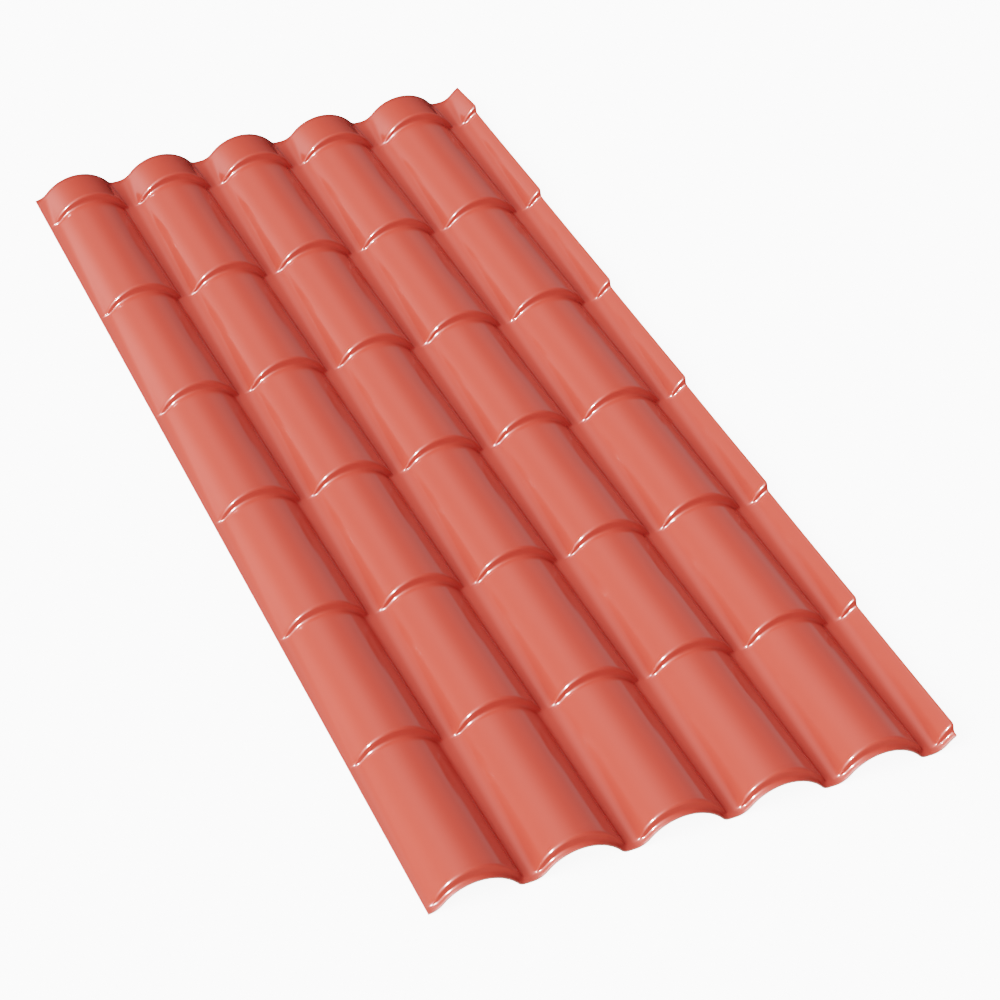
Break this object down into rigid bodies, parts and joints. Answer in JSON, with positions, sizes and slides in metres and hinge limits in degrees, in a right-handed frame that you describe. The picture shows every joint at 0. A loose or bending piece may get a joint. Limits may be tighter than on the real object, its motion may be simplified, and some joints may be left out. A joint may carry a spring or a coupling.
{
  "type": "tile effect roofing sheet",
  "caption": "Thin formed plastic roofing sheet: rounded pantile arches that step down in rows, a plain valley edge on the left and a rising underlap leg on the right.",
  "frame": {"origin": "centre of the sheet's bounding box in plan, on the plane the valleys rest on", "axes": "+X across the sheet towards the underlap leg, +Y up the roof slope towards the head, +Z out of the roof"},
  "size_m": [0.88, 2.08, 0.053],
  "materials": {
    "sheet": "terracotta red, high gloss on the weather side"
  },
  "bodies": {
    "root": {"roofing_sheet": "sheet"}
  },
  "joints": []
}
